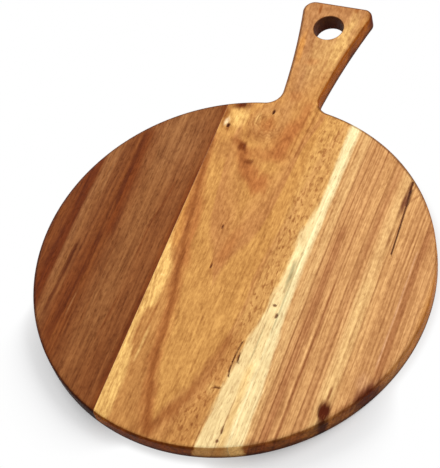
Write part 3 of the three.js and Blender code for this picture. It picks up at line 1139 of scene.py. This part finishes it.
stripedStave = dict(
    lean=0.25,
    drift=1.5,
    ripple=0.8,
    tones=dict(
        straw=(236, 190, 124), sand=(227, 176, 114), apricot=(220, 163, 103), tan=(212, 154, 97),
        rust=(203, 144, 90), sienna=(182, 119, 73), brown=(150, 88, 46), plum=(126, 66, 46),
        umber=(100, 42, 17), knot=(84, 30, 9), rose=(228, 172, 126), ochre=(208, 142, 74),
        cream=(248, 218, 158), ivory=(252, 229, 171)),
    bend=[                   # of all lines, at each y
        (-153, -1.2), (-60, -0.4), (20, 0), (60, 0.4), (98, 1.6), (130, 2.8), (153, 3.6)],
    bands=[
        (50, "apricot"), (63, "sand"), (68, "tan"), (79, "tan"), (90, "apricot"), (94, "rust"), (98, "tan"),
        (103, "sand"), (108, "sand"), (112, "apricot"), (117, "apricot"), (122, "tan"), (128, "tan"),
        (131, "tan"), (134, "rust"), (139, "rust"), (143, "tan"), (148, "tan"), (153, "ochre"),
    ],
    lines=[
        (59, 0.9, 0.35), (62.6, 0.8, 0.3), (66.3, 1.0, 0.8), (68.2, 0.6, 0.4), (71.2, 0.9, 0.8),
        (74, 0.7, 0.5), (76, 0.7, 0.55), (78.4, 0.7, 0.25), (82, 1.3, 1.0), (84.6, 0.7, 0.45),
        (88, 0.7, 0.35), (91.4, 1.1, 0.9), (93.4, 0.7, 0.5), (95.8, 1.0, 0.6), (98.6, 0.6, 0.35),
        (102, 0.6, 0.2), (107.4, 0.7, 0.2), (111.6, 0.8, 0.7), (115.4, 0.8, 0.6), (118, 0.6, 0.35),
        (120.4, 0.8, 0.65), (122.6, 0.6, 0.5), (125, 0.9, 0.75), (128, 0.9, 0.75), (130, 0.6, 0.45),
        (133.4, 1.1, 0.75), (136.6, 0.8, 0.6), (140, 0.6, 0.4), (143.2, 0.6, 0.4), (146.6, 0.9, 0.6)],
    lineStrength=(0.75, 1.6),   # and how much the mottle changes it
    stripes=[
        ([(52, 72.8), (20, 73), (-60, 73.4), (-142, 74.2)], 4.2, "sienna", 0.8),
        ([(66, 135.4), (20, 135), (-66, 134.6)], 3.2, "sienna", 0.75),
        ([(44, 131.6), (0, 131.7), (-58, 131.6)], 0.9, "rose", 0.8),
        ([(12, 106), (-40, 106), (-96, 106.4)], 7.5, "straw", 0.45),
        ([(110, 96), (70, 95.6), (28, 95.4)], 2.2, "sienna", 0.4),
        ([(-4, 82.4), (-60, 82.2), (-132, 82)], 1.7, "sienna", 0.7),
    ],
    patches=[
        ((108.3, 84), (2.8, 16), 2, "plum", 0.85),
        ((115.4, 88), (1.6, 8), -28, "brown", 0.55),
        ((108.4, 50), (2.0, 11), 0, "brown", 0.55),
        ((106.8, -84), (1.4, 9), 0, "brown", 0.8),
        ((106.8, -97), (6.5, 9), 0, "brown", 0.7),
        ((126, -70), (7, 9), 0, "rose", 0.4),
        ((131, -76.5), (6, 18), -31, "plum", 0.75),
        ((133, -77.5), (4.6, 16), -31, "umber", 0.9),
        ((119, -94), (3.4, 11), -38, "brown", 0.6),
        ((109.5, -108.5), (7, 6.5), -40, "knot", 0.9),
        ((68, -137), (9, 6), 0, "umber", 0.3),
    ],
    knotPatch=[((106.6, -99.5), (6.4, 8.4), 10, "knot", 1.0)],
    knotRag=1.8,
    sap=[
        (-153, 60), (-130, 59.4), (-100, 58.4), (-80, 57.2), (-60, 56.2), (-40, 54.9), (-20, 54.2),
        (0, 54), (20, 54.2), (60, 55.4), (100, 56.4), (145, 57.2), (259, 58)],
    sapFade=(2.4, -2.0),
    sapRag=4,
    sapLow=(-30, -90),       # along y, where it is cream
    palest=0.8,
    faults=[(["rimKnot"], ["crackTop"], "knot", 0.95), ([], ["crackHair"], "umber", 0.9)],
    # the side and end tints are partly the wood's own darker rim and partly painted shade; the edge tint is
    # painted shade
    look=dict(lineDepth=0.95, fibreDepth=0.6, fleckDepth=0.75, mottleDepth=0.45, poreDepth=0.3, rough=0.5,
              darkGrain="brown", sideTint=(0.62, 0.5, 0.34, 1.0), endTint=(0.34, 0.18, 0.07, 1.0),
              paleTint=(0.95, 0.74, 0.5, 1.0), edgeTint=(0.24, 0.17, 0.12, 1.0)),
)


def dressStripedStave(piece, settings):
    wood = Figure("stripedHeartwood", settings)
    tree = wood.tree
    wood.bands(wood.across, settings["bands"])
    wood.streaks(settings["stripes"])
    even, uneven = settings["lineStrength"]
    wood.growthLines(settings["lines"], "brown", even + wood.mottle * uneven)
    wood.lines = wood.grain(wood.across, "hairLines")
    wood.patches(settings["patches"])
    wood.patches(settings["knotPatch"], settings["knotRag"])
    toSap = wood.x - tree.path(wood.y, settings["sap"]) + wood.rag * settings["sapRag"]
    sap = tree.fade(toSap, *settings["sapFade"])
    wood.stain(sap, "ivory")
    wood.stain(sap * tree.fade(wood.y, *settings["sapLow"]), "cream")
    wood.pale = sap * settings["palest"]
    for fault in settings["faults"]:
        wood.faults(*fault)
    wood.finish(piece, settings["look"])


# Glue films: thin and slightly glossy, each near the colour of the wood beside it

glueFilms = dict(            # colour, and share of its brightness on the rim
    left_glue_film=dict(colour=(138, 88, 46), rimShare=0.3),
    right_glue_film=dict(colour=(246, 222, 164), rimShare=0.42),
)
curedGlue = dict(
    cloud=((1.0, 0.2, 0.6), 3.0),   # fineness across, along and up, and detail
    cloudDepth=0.6,
    rim=(0.6, 0.95),
    bump=dict(Strength=0.2, Distance=0.05 * mm),
    rough=0.5,
    cloudRough=0.2,
)


def dressGlue(piece, film, glue):
    material, tree = newMaterial(piece.name + "_cured")
    cloud = tree.noise(tree.place(), *glue["cloud"])
    upright = abs(tree.facing()[2])
    lit = tree.fade(upright, *glue["rim"]) * (1 - film["rimShare"]) + film["rimShare"]
    tone = tree.bright(paint(*film["colour"])[:3], (1 + cloud * glue["cloudDepth"]) * lit)
    bump = tree.node("ShaderNodeBump", sockets={**glue["bump"], "Height": cloud})
    surface = tree.node("ShaderNodeBsdfPrincipled", sockets={
        "Base Color": tone, "Roughness": glue["rough"] + cloud * glue["cloudRough"], "Normal": bump})
    tree.node("ShaderNodeOutputMaterial", sockets={"Surface": surface})
    piece.data.materials.append(material)


dressDarkStave(pieces["dark_stave"], darkStave)
dressGoldenStave(pieces["golden_stave"], goldenStave)
dressStripedStave(pieces["striped_stave"], stripedStave)
for name, film in glueFilms.items():
    dressGlue(pieces[name], film, curedGlue)
print("wood dressed")
